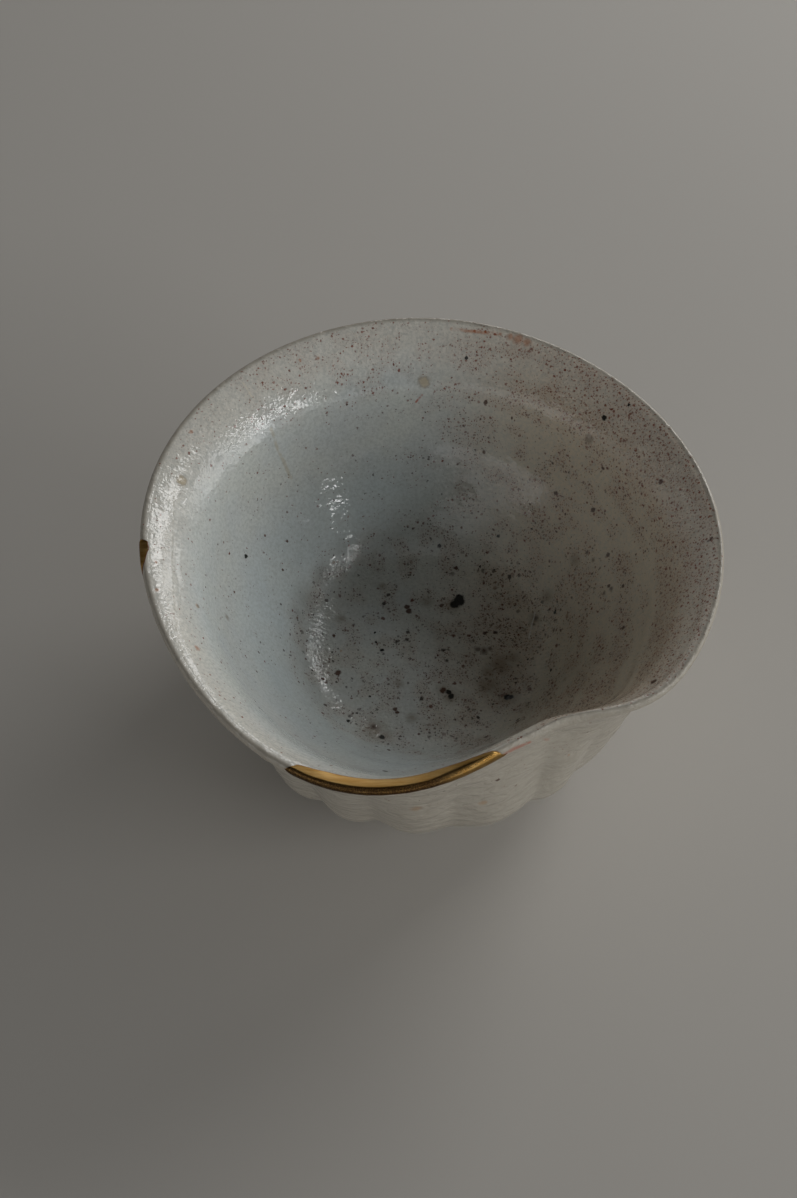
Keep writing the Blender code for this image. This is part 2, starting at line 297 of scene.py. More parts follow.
def vertexPlaces(mesh):
    flat = np.empty(len(mesh.vertices) * 3)
    mesh.vertices.foreach_get("co", flat)
    return flat.reshape(-1, 3) / mm


def addField(mesh, name, values):
    field = mesh.attributes.new(name, "FLOAT", "POINT")
    field.data.foreach_set("value", np.asarray(values, np.float32))


# How the glaze varies over the pot: kept as soft shares on the mesh, which the material reads

glazeDrift = {
    # iron flecks: their share on the left and on the right
    "wallFlecks": (0.10, 1.0),
    "floorFlecks": (0.62, 1.0),
    "lipFlecks": 0.95,
    "backLipFlecks": 0.42,
    "outsideFlecks": 0.04,
    "turn": (-14.0, 30.0),                           # where left changes to right, mm across
    "streaks": (12.0, 2.6),                          # length in degrees and width in mm along the throwing rings
    "clumps": 4.2,                                   # mm across
    # throwing rings where the glaze ran off clean: points (angle, depth), width and rise in mm
    "clearRings": [
        ([(-38, 12.0), (-31, 13.5), (-24, 15.7), (-16, 15.9), (-7, 14.9), (3, 15.5), (10, 16.9), (17, 19.4)], 1.1, 0.22),
        ([(10, 27.0), (15, 25.1), (21, 23.9), (30, 23.4), (38, 23.9)], 1.2, 0.12),
        ([(-32, 18.5), (-20, 18.6), (-8, 19.5), (2, 20.0)], 0.8, 0.05),
    ],
    # and where flecks crowd along one: points (angle, depth), width
    "crowdedRings": [
        ([(-26, 22.7), (-19, 21.4), (-10, 23.3), (7, 26.6), (17, 28.3), (28, 25.6)], 1.6),
        ([(-30, 15.0), (-18, 17.4), (-6, 17.2), (6, 18.4), (20, 21.5), (32, 19.5)], 1.3),
    ],
    # clusters of flecks on the floor: (x, y, width), mm
    "gatherings": [
        (13, -10, 4.0), (16, -14, 4.0), (19, -11, 3.0), (9, -14, 2.6), (21, 4, 2.6), (16, -4, 3.6), (17, 13, 4.5),
        (12, 5, 4.5), (26, 10, 3.0), (9, -26, 4.0), (-6, -25, 3.0), (-12, -23, 2.6), (2, -20, 3.0), (24, -20, 3.0),
    ],
}


def alongRing(points, width, around, depths):
    # 1 on a ring drawn through the points, falling off within its width and past its ends
    angles, ringDepths = np.array(points, float).T
    off = (depths - np.interp(around, angles, ringDepths)) / width
    ends = smoothstep(angles[0] - 6.0, angles[0] + 4.0, around) * smoothstep(angles[-1] + 6.0, angles[-1] - 4.0, around)
    return np.exp(-0.5 * off ** 2) * ends


def fleckShareAt(places, around, depths):
    g = glazeDrift
    x, y = places[:, 0], places[:, 1]
    right = smoothstep(*g["turn"], x)
    inRings = np.stack([around / g["streaks"][0], depths / g["streaks"][1], around * 0.0], axis=1)
    streaks, clumps = noiseAt(inRings, 1.0, 21), noiseAt(places, g["clumps"], 22)
    wall = g["wallFlecks"][0] + (g["wallFlecks"][1] - g["wallFlecks"][0]) * right
    wall = wall * (0.08 + 0.92 * smoothstep(-0.22, 0.20, 0.5 * streaks + 0.5 * clumps))
    flare = smoothstep(8.0, 40.0, x) * smoothstep(15.0, 9.0, depths)
    wall = np.maximum(wall, flare * g["lipFlecks"] * (0.55 + 0.45 * smoothstep(-0.4, 0.3, clumps)))
    for points, width in g["crowdedRings"]:
        wall = np.maximum(wall, 1.0 * alongRing(points, width, around, depths) * smoothstep(-0.30, 0.10, clumps))
    back = smoothstep(20.0, 46.0, y) * smoothstep(15.0, 8.0, depths)
    wall = np.maximum(wall, g["backLipFlecks"] * back * smoothstep(-0.4, 0.3, clumps))
    bend = 0.8 * noiseAt(inRings, 0.8, 23)
    for points, width, rise in g["clearRings"]:
        wall = wall * (1.0 - 0.97 * alongRing(points, width, around, depths + bend))
    floor = g["floorFlecks"][0] + (g["floorFlecks"][1] - g["floorFlecks"][0]) * smoothstep(-14.0, 8.0, x)
    gathered = np.zeros(len(x))
    for middleX, middleY, width in g["gatherings"]:
        gathered = np.maximum(gathered, np.exp(-((x - middleX) ** 2 + (y - middleY) ** 2) / width ** 2))
    floor = floor * np.maximum(0.15 + 0.80 * smoothstep(-0.15, 0.25, clumps),
                               gathered * smoothstep(-0.45, 0.05, noiseAt(places, 2.4, 24)))
    onFloor = smoothstep(36.0, 41.5, depths)
    haze = onFloor * np.clip(0.45 * gathered + 0.25 * smoothstep(0.0, 0.4, clumps), 0.0, 1.0)
    return wall * (1.0 - onFloor) + floor * onFloor, haze


def sectionReach(section):
    # distance of each row from the top of the lip along the surface, inward negative, as a column
    steps = np.hypot(*np.diff(section, axis=0).T)
    reach = np.concatenate([[0.0], np.cumsum(steps)])
    top = np.argmin(np.hypot(section[:, 0] - potForm["reachFrom"][0], section[:, 1] - potForm["reachFrom"][1]))
    return (reach - reach[top])[:, None]


def makePot():
    section = potSection()[1:-1]
    angles = np.linspace(180.0, -180.0, potForm["columns"], endpoint=False)
    radius, depth = section[:, 0:1], section[:, 1:2]
    points, share = firedPot(radius, angles[None, :], depth)
    mesh = buildGrid("teaBowl", points, True)
    rows, columns = points.shape[:2]
    depths = np.repeat(section[:, 1], columns)
    around = np.tile(angles, rows)
    shares = share.reshape(-1)
    count = rows * columns
    normals = np.empty(len(mesh.vertices) * 3)
    mesh.vertices.foreach_get("normal", normals)
    normals = normals.reshape(-1, 3)[:count]
    places = vertexPlaces(mesh)
    ground = 1.0 - smoothstep(53.5, 54.8, depths)     # nothing added to the foot, so it stands flat
    push = np.zeros(count)
    for kind, side in (("insideSwells", 1.0 - shares), ("outsideSwells", shares)):
        if kind == "outsideSwells":
            side = side * smoothstep(1.5, 6.0, depths)
        for seed, (swell, height) in enumerate(handMarks[kind]):
            push += height * noiseAt(places[:count], swell, seed + 1) * side * ground
    for ringDepth, height, width, clearest, spread in handMarks["rings"]:
        wander = 0.8 * np.sin(np.radians(around * 2.0 + ringDepth * 20.0))
        bump = np.exp(-0.5 * ((depths - ringDepth - wander) / width) ** 2)
        fade = np.exp(-0.5 * (turnFrom(around, clearest) / spread) ** 2)
        push += height * bump * fade * (1.0 - shares) * (depths < 40.0)
    for points, width, rise in glazeDrift["clearRings"]:
        push += rise * alongRing(points, width * 0.8, around, depths) * (1.0 - shares)
    neckDepth, neckIn, neckWidth = handMarks["neck"]
    push -= neckIn * np.exp(-0.5 * ((depths - neckDepth) / neckWidth) ** 2) * shares
    bent = 4.0 * noiseAt(places[:count], 11.0, 5)
    for pitch, height in handMarks["ridges"]:
        push += height * np.sin(2.0 * pi * (depths + bent) / pitch) * shares * ground * smoothstep(6.0, 12.0, depths)
    grooveNoise = noiseAt(np.stack([around / 18.0, around * 0.0, around * 0.0], axis=1), 1.3, 9)
    push -= potForm["fluteDepth"] * handMarks["fluteUneven"] * grooveNoise * fluteAt(around, depths) * shares
    reach = sectionReach(section)
    bed, calm = np.zeros((rows, columns)), np.zeros((rows, columns))
    for fill in (rimFill, chipFill):
        along = (turnFrom(angles, fill["middle"]) / fill["halfTurn"] + 1.0) / 2.0
        inner, outer = [np.interp(along, fill["along"], fill[edge])[None, :] for edge in ("innerEdge", "outerEdge")]
        ends = (smoothstep(0.0, 0.04, along) * smoothstep(1.0, 0.96, along))[None, :]
        bed += fill["bed"] * ends * smoothstep(inner + 0.1, inner + 0.9, reach) * smoothstep(outer - 0.1, outer - 0.9, reach)
        beside = smoothstep(-0.04, 0.0, along) * smoothstep(1.04, 1.0, along)
        beside = beside[None, :] * smoothstep(inner - 1.4, inner - 0.3, reach) * smoothstep(outer + 1.4, outer + 0.3, reach)
        calm = np.maximum(calm, beside)
    push = push * (1.0 - calm.reshape(-1)) - bed.reshape(-1)
    places[:count] += normals * push[:, None]
    places[:, 2] = np.minimum(places[:, 2], topHeight)
    mesh.vertices.foreach_set("co", (places * mm).reshape(-1))
    inside = (1.0 - smoothstep(0.5, 0.9, shares)) * (depths < 50.0)
    flecks, haze = fleckShareAt(places[:count], around, depths)
    outsideFlecks = glazeDrift["outsideFlecks"] * smoothstep(-0.2, 0.5, noiseAt(places[:count], 9.0, 31))
    flecks = flecks * inside + outsideFlecks * (1.0 - inside)
    edge = np.exp(-0.5 * ((depths - 2.4) / 1.2) ** 2) * (shares > 0.8)
    edge = edge * (0.12 + 0.88 * smoothstep(0.0, 0.5, np.sin(np.radians(around))))
    for name, values, middles in (
        ("outsideShare", 1.0 - inside, (0.0, 1.0)),
        ("lipEdge", edge, (0.0, 0.0)),
        ("depthMm", depths, (depths[0], depths[-1])),
        ("fleckShare", flecks, (0.3, 0.0)),
        ("hazeShare", haze * inside, (0.2, 0.0)),
    ):
        addField(mesh, name, np.concatenate([values, middles]))
    mesh.update()
    return mesh


def showPiece(name, mesh, material, slot, *replaced):
    piece = bpy.data.objects.new(name, mesh)
    bpy.context.scene.collection.objects.link(piece)
    mesh.materials.append(material)
    mesh.shade_smooth()
    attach(piece, "root")
    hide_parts(*replaced)
    return piece


# The gold fills: lacquer built up over the broken lip in the lip's own shape, a little proud of the glaze

rimFill = {
    "middle": -95.2,                                 # where it lies round the rim
    "halfTurn": 20.1,
    # its inner and outer edge over the lip at places along it (0 left end, 1 right end), measured
    # along the surface from the top of the lip, inward negative
    "along": [0.0, 0.012, 0.03, 0.09, 0.16, 0.45, 0.62, 0.70, 0.80, 0.88, 0.95, 0.985, 1.0],
    "innerEdge": [0.2, -0.6, -1.0, -1.7, -3.1, -3.5, -3.1, -1.7, -0.8, -0.4, 0.2, 1.3, 2.2],
    "outerEdge": [1.8, 2.4, 2.7, 2.9, 2.8, 2.3, 2.4, 2.7, 3.0, 3.2, 3.2, 2.9, 2.5],
    # the ridge between its bright top and its rubbed outer face, which also carries painted dark reflection
    "ridgeAt": [0.8, 0.8, 0.8, 0.9, 0.8, 0.5, 0.7, 0.4, 0.3, 0.6, 1.0, 1.6, 2.3],
    "ridge": 0.24,                                   # how far it stands above the lip's own surface
    "innerLift": 0.5,                                # and its inner edge, at its middle
    "leans": (-1.3, 1.3),                            # degrees by which its outer side runs on at either end
    "bed": 0.9,                                      # depth of the broken edge it lies in
    "edgeWander": 0.12,
    "stations": 240,
    "across": 36,
    "seed": 3,
}
chipFill = {
    "middle": -174.7,
    "halfTurn": 4.1,
    "along": [0.0, 0.08, 0.3, 0.6, 0.9, 1.0],
    "innerEdge": [1.1, -0.3, -0.5, 0.5, 1.4, 2.3],
    "outerEdge": [2.3, 3.3, 4.0, 4.0, 3.4, 2.7],
    "ridgeAt": [1.4, 1.4, 1.4, 1.5, 1.8, 2.5],
    "ridge": 0.16,
    "innerLift": 0.0,
    "leans": (0.0, 0.0),
    "bed": 0.3,
    "edgeWander": 0.22,
    "stations": 60,
    "across": 22,
    "seed": 7,
}
bedDepth = 0.5                                       # how far a fill's hidden side lies in the wall


def lipPath():
    # fine points over the lip with their distance from its top along the surface
    p = potForm
    points = p["innerWall"][-3:] + p["lip"] + p["outerWall"][:3]
    path, distance = curveThrough(points, [0.1] * len(points))
    top = np.argmin(np.hypot(path[:, 0] - p["reachFrom"][0], path[:, 1] - p["reachFrom"][1]))
    return path, distance - distance[top]


def makeFill(name, fill):
    # a flat inner face up to a ridge, and an outer face that follows the lip; the hidden side lies in the bed
    path, distance = lipPath()
    slopes = np.gradient(path, distance, axis=0)

    def overLip(reach, lift):
        # (radius, depth) at a distance over the lip, lifted off its surface
        here = np.stack([np.interp(reach, distance, path[:, axis]) for axis in (0, 1)], axis=-1)
        slope = np.stack([np.interp(reach, distance, slopes[:, axis]) for axis in (0, 1)], axis=-1)
        return here + np.stack([slope[..., 1], -slope[..., 0]], axis=-1) * np.asarray(lift)[..., None]

    along = 0.5 - 0.5 * np.cos(np.linspace(0.0, pi, fill["stations"]))
    angles = fill["middle"] + fill["halfTurn"] * (2.0 * along - 1.0)
    wanderPlaces = np.stack([angles, angles * 0.0, angles * 0.0], axis=1)
    inner, outer, ridgeAt = [np.interp(along, fill["along"], fill[key])[:, None]
                             for key in ("innerEdge", "outerEdge", "ridgeAt")]
    inner = inner + fill["edgeWander"] * noiseAt(wanderPlaces, 1.9, fill["seed"])[:, None]
    outer = outer + fill["edgeWander"] * noiseAt(wanderPlaces, 1.3, fill["seed"] + 1)[:, None]
    outer = np.maximum(outer, inner + 0.3)
    width = outer - inner
    ridgeAt = np.clip(ridgeAt, inner + 0.15 * width, outer - 0.15 * width)
    endFade = np.minimum(1.0, width / 3.0)
    half = fill["across"] // 2
    rise = np.linspace(0.0, 1.0, half)[None, :]
    fall = (0.5 - 0.5 * np.cos(np.linspace(0.0, pi, half + 1)[1:]))[None, :]
    edgeLift = 0.06 * endFade
    foot = overLip(inner, edgeLift + fill["innerLift"] * (4.0 * along * (1.0 - along))[:, None])
    crest = overLip(ridgeAt, (fill["ridge"] + 0.06) * endFade)
    innerFace = foot + (crest - foot) * rise[..., None]
    outerReach = ridgeAt + (outer - ridgeAt) * fall
    outerFace = overLip(outerReach, fill["ridge"] * endFade * (1.0 - fall) ** 0.8 + edgeLift * (1.0 - fall ** 6))
    top = np.concatenate([innerFace, outerFace], axis=1)
    under = np.linspace(0.0, 1.0, 2 * half)[None, :]
    sunk = (bedDepth + fill["bed"]) * (4.0 * under * (1.0 - under)) ** 0.5 * endFade + 0.05
    bed = overLip(inner + width * under, -sunk)
    loop = np.concatenate([top, bed[:, ::-1]], axis=1)
    starting, ending = np.clip(1.0 - along / 0.10, 0.0, 1.0), np.clip(1.0 - (1.0 - along) / 0.10, 0.0, 1.0)
    lean = (fill["leans"][0] * starting + fill["leans"][1] * ending)[:, None]
    acrossShare = np.concatenate([rise * (ridgeAt - inner), outerReach - inner, (width * under)[:, ::-1]], axis=1) / width
    points = firedPot(loop[..., 0], angles[:, None] + lean * acrossShare, loop[..., 1])[0]
    points[..., 2] = np.minimum(points[..., 2], topHeight)
    mesh = buildGrid(name, points, True)
    hidden = np.full_like(sunk * width, 3.0)
    beyondRidge = np.concatenate([(rise - 1.0) * (ridgeAt - inner), outerReach - ridgeAt, hidden], axis=1)
    fromEdge = np.concatenate([rise * (ridgeAt - inner), outer - outerReach, 0.0 * hidden], axis=1)
    addField(mesh, "beyondRidge", np.concatenate([beyondRidge.reshape(-1), [0.0, 0.0]]))
    addField(mesh, "fromEdge", np.concatenate([fromEdge.reshape(-1), [0.0, 0.0]]))
    addField(mesh, "alongFill", np.concatenate([np.repeat(along, points.shape[1]), [0.0, 1.0]]))
    return mesh


# Camera: where the photograph was taken from, so that the outline falls on the same pixels

view = {
    "frameSize": (797, 1198),                        # pixels
    "lens": 50.0,
    "filmLong": 36.0,                                # the film's long side, upright here
    "tilt": 34.7,                                    # degrees up from looking straight down
    "place": (-6.7, -206.85, 333.9),                 # mm
}


def makeCamera():
    data = bpy.data.cameras.new("photoCamera")
    data.lens = view["lens"]
    data.sensor_width = view["filmLong"]
    data.clip_start = 0.01
    camera = bpy.data.objects.new("photoCamera", data)
    camera.location = Vector(view["place"]) * mm
    camera.rotation_euler = (radians(view["tilt"]), 0.0, 0.0)
    bpy.context.scene.collection.objects.link(camera)
    bpy.context.scene.camera = camera
    bpy.context.view_layer.update()
    return camera


def placeOnPot(tree, camera, pixel):
    # the point of the pot, in millimetres, that the camera sees at a pixel of the photograph's frame
    wide, tall = view["frameSize"]
    perPixel = view["filmLong"] / view["lens"] / tall
    ray = Vector(((pixel[0] - wide / 2) * perPixel, (tall / 2 - pixel[1]) * perPixel, -1.0))
    start = camera.matrix_world.translation
    found, normal, face, far = tree.ray_cast(start, (camera.matrix_world.to_3x3() @ ray).normalized())
    if found is None:
        raise ValueError("no pot at pixel " + str(pixel))
    return found / mm


# Materials

def fromHex(code):
    # sRGB hex to linear, with alpha
    channels = [int(code[i:i + 2], 16) / 255.0 for i in (1, 3, 5)]
    return tuple(c / 12.92 if c <= 0.04045 else ((c + 0.055) / 1.055) ** 2.4 for c in channels) + (1.0,)


def addNode(tree, kind, inputs, out=0, **settings):
    # adds a node, applies its settings, and links or sets its inputs; returns one output socket
    node = tree.nodes.new("ShaderNode" + kind)
    for name, value in settings.items():
        setattr(node, name, value)
    for name, value in inputs.items():
        if isinstance(value, bpy.types.NodeSocket):
            tree.links.new(value, node.inputs[name])
        else:
            node.inputs[name].default_value = value
    return node.outputs[out]


def newMaterial(name):
    material = bpy.data.materials.new(name)
    material.use_nodes = True
    tree = material.node_tree
    shader = tree.nodes["Principled BSDF"]
    # millimetres in the part's own frame, so every pattern is given by a real size
    place = addNode(tree, "TexCoord", {}, out=3)
    place = addNode(tree, "VectorMath", {0: place, 3: 1.0 / mm}, operation="SCALE")
    return material, tree, shader, place


glaze = {
    "thick": "#c6cccb",                              # bluish grey-white where it pooled
    "thin": "#cdd1cb",
    "blush": "#cbbba3",                              # warmed by iron on the right
    "paintedSkySheen": "#b5c2c5",                             # painted bluish sheen low on the left wall, a sky reflection painted into the colour
    "crowded": "#aa8a74",                            # and browner still where flecks crowd
    "lip": "#ddd7ca",                                # creamier and lighter over the lip: partly the glaze's own cream, partly painted light on its up-facing top
    "tan": "#b28f74",                                # the clay showing through at the lip's very edge
    "outside": "#aca699",
    "outsideStain": "#978f82",
    "haze": "#807260",
    "grain": "#9aa09c",                              # fine greyish mottling
    "fleck": "#6e3526",
    "ember": "#8c4c36",
    "soot": "#2c2420",
    "insideRoughness": 0.065,
    "outsideRoughness": 0.24,
    # flecks: (mm between them where they are densest, radius, how much of their colour shows)
    "dustFlecks": (0.44, 0.14, 0.85),
    "fineFlecks": (0.66, 0.22, 0.95),
    "midFlecks": (1.15, 0.36, 0.95),
    "coarseFlecks": (2.6, 0.60, 0.9),
    "peelWidth": 0.85,                              # the skin's dimples, like orange peel
    "peelDepth": 0.18,
    "wallPeelDepth": 0.05,
    "ringPeelDepth": 0.24,                          # round the well
    "swellWidth": 3.0,
    "swellDepth": 0.10,
    "trimPitch": 1.8,                                # fine turning lines and wrinkles outside
    "trimDepth": 0.03,
    "wrinkleWidth": 2.6,
    "wrinkleDepth": 0.55,
}

# larger iron spots and stains in the glaze, and one patch of painted shade: pixel of the photograph's frame, width in
# mm, colour
ironSpots = [
    # colour, how much shows, softness of the edge, then each spot's pixel and width in mm
    ("#8b7b62", 0.55, 0.10, [((182, 481), 2.7), ((424, 382), 2.9), ((219, 629), 0.9)]),
    ("#bdb29b", 0.85, 0.08, [((182, 481), 1.9), ((424, 382), 2.0)]),
    ("#a5835f", 0.55, 0.22, [((416, 809), 2.4), ((483, 803), 1.6), ((341, 651), 0.7), ((197, 606), 1.0)]),
    ("#80725f", 0.55, 0.32, [
        ((427, 602), 2.6), ((382, 586), 1.6), ((412, 718), 2.2), ((399, 684), 1.8), ((375, 729), 4.4),
        ((488, 686), 4.2), ((227, 617), 1.4), ((565, 679), 1.0), ((341, 618), 1.8), ((500, 664), 4.6),
        ((512, 658), 3.0), ((489, 672), 3.0), ((452, 606), 3.4), ((444, 690), 3.0), ((536, 619), 3.0),
        ((547, 597), 3.0), ((575, 560), 2.6), ((450, 696), 3.6), ((510, 697), 3.6), ((385, 735), 3.0),
    ]),
    # painted shade: soft grey patches on the lower left wall, where it darkens just outside the well's ring highlight
    ("#7d807d", 0.40, 0.45, [((303, 598), 5.5), ((297, 614), 4.0), ((322, 574), 4.0)]),
    ("#857866", 0.75, 0.16, [((589, 439), 2.0), ((198, 606), 0.9), ((333, 562), 0.8)]),
    ("#a8683f", 0.6, 0.22, [
        ((510, 337), 1.6), ((518, 339), 2.4), ((527, 342), 1.8), ((569, 755), 0.5), ((300, 360), 0.7),
        ((318, 358), 0.7), ((191, 432), 0.9), ((197, 648), 1.3), ((156, 562), 0.8), ((157, 590), 0.9),
    ]),
    ("#453027", 0.7, 0.26, [
        ((478, 649), 1.3), ((484, 651), 1.7), ((490, 649), 1.2), ((536, 618), 1.3), ((533, 624), 0.9),
        ((374, 727), 1.4), ((611, 589), 1.1), ((604, 593), 0.8), ((593, 560), 1.0), ((587, 552), 0.9),
    ]),
    ("#4c3126", 0.92, 0.12, [
        ((407, 607), 1.3), ((409, 611), 1.4), ((338, 673), 1.4), ((443, 690), 1.5), ((456, 568), 1.0),
        ((334, 636), 0.9), ((395, 709), 0.9), ((397, 712), 0.9), ((389, 750), 0.9), ((287, 541), 0.7),
        ((283, 570), 0.6), ((257, 672), 0.7), ((661, 482), 1.2), ((603, 468), 0.9), ((593, 510), 1.1),
        ((608, 555), 1.1), ((623, 586), 0.8), ((609, 586), 0.8), ((623, 628), 1.0), ((653, 682), 1.5),
        ((484, 452), 0.9), ((486, 402), 0.9), ((711, 538), 0.8), ((556, 493), 1.0), ((337, 562), 0.7),
        ((498, 780), 0.9), ((512, 418), 0.6), ((323, 679), 0.9), ((326, 683), 0.8),
    ]),
    ("#1f1f1e", 0.96, 0.10, [
        ((459, 601), 2.7), ((455, 604), 2.5), ((460, 598), 2.0), ((449, 692), 1.3), ((451, 696), 1.4),
        ((507, 697), 1.4), ((511, 697), 1.3), ((376, 642), 0.7), ((382, 650), 0.8), ((375, 633), 0.6),
        ((348, 721), 1.0), ((382, 737), 1.3), ((370, 697), 0.6), ((439, 546), 0.8), ((431, 539), 0.5),
        ((498, 536), 0.8), ((555, 612), 0.9), ((246, 556), 0.9), ((466, 358), 0.8), ((532, 529), 0.6),
        ((604, 418), 1.2), ((629, 405), 0.7), ((517, 720), 0.7), ((551, 670), 0.7), ((385, 771), 1.2),
    ]),
]

# fine lines in the glaze, one of them a painted glint: colour, width in mm, how much shows, and the pixels they run
# through
glazeLines = [
    ("#a8956a", 0.8, 0.35, [(271, 429), (276, 445), (284, 462), (291, 478)]),
    ("#dcd5c4", 0.40, 0.8, [(243, 383), (252, 397)]),
    ("#a25a46", 0.9, 0.6, [(502, 756), (514, 749), (529, 743)]),
    ("#aa6a55", 0.8, 0.4, [(529, 743), (548, 740)]),
    ("#4a2a1c", 0.50, 0.95, [(717, 538), (708, 541)]),
    ("#a04a33", 0.45, 0.8, [(422, 395), (416, 402)]),
    ("#b06c42", 0.80, 0.6, [(452, 329), (500, 334)]),
    # painted glint: a thin pale highlight along the crack-like streak on the floor
    ("#d5d3c9", 0.35, 0.8, [(529, 638), (532, 624), (535, 613)]),
    ("#a09a8a", 0.35, 0.35, [(172, 478), (174, 500), (173, 540), (172, 560), (174, 600), (177, 636), (186, 664)]),
]


def makeGlaze(potTree, camera):
    # glazed white stoneware, thrown, fluted, dipped and wood-fired: a milky skin with fine dimples and
    # iron flecks, glossy inside where it pooled and satin outside; some light and shade is painted into its colour as
    # well: a bluish sky sheen low on the left wall, a lighter lip, a patch of shade beside the well and a glint on the
    # floor
    material, tree, shader, place = newMaterial("dippedSpeckledGlaze")
    outside, lipEdge, depth, fleckShare, hazeShare = [
        addNode(tree, "Attribute", {}, out=2, attribute_name=name)
        for name in ("outsideShare", "lipEdge", "depthMm", "fleckShare", "hazeShare")]
    sides = tree.nodes.new("ShaderNodeSeparateXYZ")
    tree.links.new(place, sides.inputs[0])
    across = sides.outputs[0]
    cloud = addNode(tree, "TexNoise", {"Vector": place, "Scale": 1 / 15.0, "Detail": 3.0, "Roughness": 0.6})
    mottle = addNode(tree, "TexNoise", {"Vector": place, "Scale": 1 / 2.4, "Detail": 4.0, "Roughness": 0.65})
    cloudy = addNode(tree, "MapRange", {0: cloud, 1: 0.36, 2: 0.64, 3: 0.0, 4: 1.0})
    mottled = addNode(tree, "MapRange", {0: mottle, 1: 0.40, 2: 0.66, 3: 0.0, 4: 1.0})

    def laidOver(under, cover, colour):
        return addNode(tree, "Mix", {0: cover, 6: under, 7: colour}, out=2, data_type="RGBA")

    def times(*factors):
        total = factors[0]
        for factor in factors[1:]:
            total = addNode(tree, "Math", {0: total, 1: factor}, operation="MULTIPLY")
        return total

    colour = laidOver(fromHex(glaze["thick"]), cloudy, fromHex(glaze["thin"]))
    rightSide = addNode(tree, "MapRange", {0: across, 1: -8.0, 2: 34.0, 3: 0.0, 4: 1.0},
                        interpolation_type="SMOOTHSTEP")
    colour = laidOver(colour, rightSide, fromHex(glaze["blush"]))
    # painted reflection: a bluish sky sheen painted into the left wall's colour at mid depth, down to the well
    paintedSkySheen = [addNode(tree, "MapRange", {0: depth, 1: low, 2: high, 3: 0.0, 4: 1.0}, interpolation_type="SMOOTHSTEP")
              for low, high in ((19.0, 31.0), (45.0, 41.5))]
    aside = addNode(tree, "MapRange", {0: across, 1: 22.0, 2: -12.0, 3: 0.0, 4: 0.55}, interpolation_type="SMOOTHSTEP")
    colour = laidOver(colour, times(aside, *paintedSkySheen), fromHex(glaze["paintedSkySheen"]))
    # partly painted light: the band over the lip is made lighter to stand in for light from above on its up-facing top,
    # as well as creamier
    nearLip = addNode(tree, "MapRange", {0: depth, 1: 9.0, 2: 1.0, 3: 0.0, 4: 0.7}, interpolation_type="SMOOTHSTEP")
    colour = laidOver(colour, nearLip, fromHex(glaze["lip"]))
    colour = laidOver(colour, times(fleckShare, 0.28), fromHex(glaze["crowded"]))
    fine = addNode(tree, "TexNoise", {"Vector": place, "Scale": 1 / 0.7, "Detail": 3.0, "Roughness": 0.7})
    fine = addNode(tree, "MapRange", {0: fine, 1: 0.42, 2: 0.68, 3: 0.0, 4: 0.45})
    colour = laidOver(colour, fine, fromHex(glaze["grain"]))
    smoke = addNode(tree, "TexNoise", {"Vector": place, "Scale": 1 / 1.6, "Detail": 4.0, "Roughness": 0.7})
    smoke = addNode(tree, "MapRange", {0: smoke, 1: 0.38, 2: 0.64, 3: 0.0, 4: 0.55})
    onFloor = addNode(tree, "MapRange", {0: depth, 1: 36.0, 2: 41.0, 3: 0.0, 4: 1.0})
    colour = laidOver(colour, times(onFloor, 0.1), fromHex(glaze["blush"]))
    colour = laidOver(colour, times(hazeShare, smoke), fromHex(glaze["haze"]))
    outsideTone = laidOver(fromHex(glaze["outside"]), times(mottled, cloudy, 0.5), fromHex(glaze["outsideStain"]))
    colour = laidOver(colour, outside, outsideTone)
    colour = laidOver(colour, times(lipEdge, mottled, 0.4), fromHex(glaze["tan"]))

    # flecks, uneven in outline, reddest near the lip
    wobble = addNode(tree, "TexNoise", {"Vector": place, "Scale": 1 / 0.45, "Detail": 1.0}, out=1)
    wobble = addNode(tree, "VectorMath", {0: wobble, 1: (0.5, 0.5, 0.5)}, operation="SUBTRACT")
    wobble = addNode(tree, "VectorMath", {0: wobble, 3: 0.55}, operation="SCALE")
    uneven = addNode(tree, "VectorMath", {0: place, 1: wobble}, operation="ADD")
    ember = addNode(tree, "MapRange", {0: depth, 1: 3.0, 2: 15.0, 3: 0.6, 4: 0.0})
    for name, only in (("dustFlecks", None), ("fineFlecks", None), ("midFlecks", None), ("coarseFlecks", onFloor)):
        gap, radius, strength = glaze[name]
        dots = tree.nodes.new("ShaderNodeTexVoronoi")
        dots.inputs["Scale"].default_value = 1.0 / gap
        tree.links.new(uneven, dots.inputs["Vector"])
        dot = addNode(tree, "MapRange", {0: dots.outputs[0], 1: radius / gap, 2: 0.6 * radius / gap, 3: 0.0, 4: 1.0})
        draw = tree.nodes.new("ShaderNodeSeparateColor")
        tree.links.new(dots.outputs[1], draw.inputs[0])
        share = fleckShare if only is None else times(fleckShare, only)
        chosen = addNode(tree, "Math", {0: draw.outputs[0], 1: share}, operation="LESS_THAN")
        darkness = addNode(tree, "MapRange", {0: draw.outputs[1], 1: 0.35, 2: 1.0, 3: 0.0, 4: 1.0})
        darkness = addNode(tree, "Math", {0: onFloor, 1: 0.4, 2: darkness}, operation="MULTIPLY_ADD", use_clamp=True)
        tint = laidOver(fromHex(glaze["fleck"]), darkness, fromHex(glaze["soot"]))
        tint = laidOver(tint, ember, fromHex(glaze["ember"]))
        fade = addNode(tree, "MapRange", {0: draw.outputs[2], 1: 0.0, 2: 1.0, 3: 0.5 * strength, 4: strength})
        colour = laidOver(colour, times(dot, chosen, fade), tint)
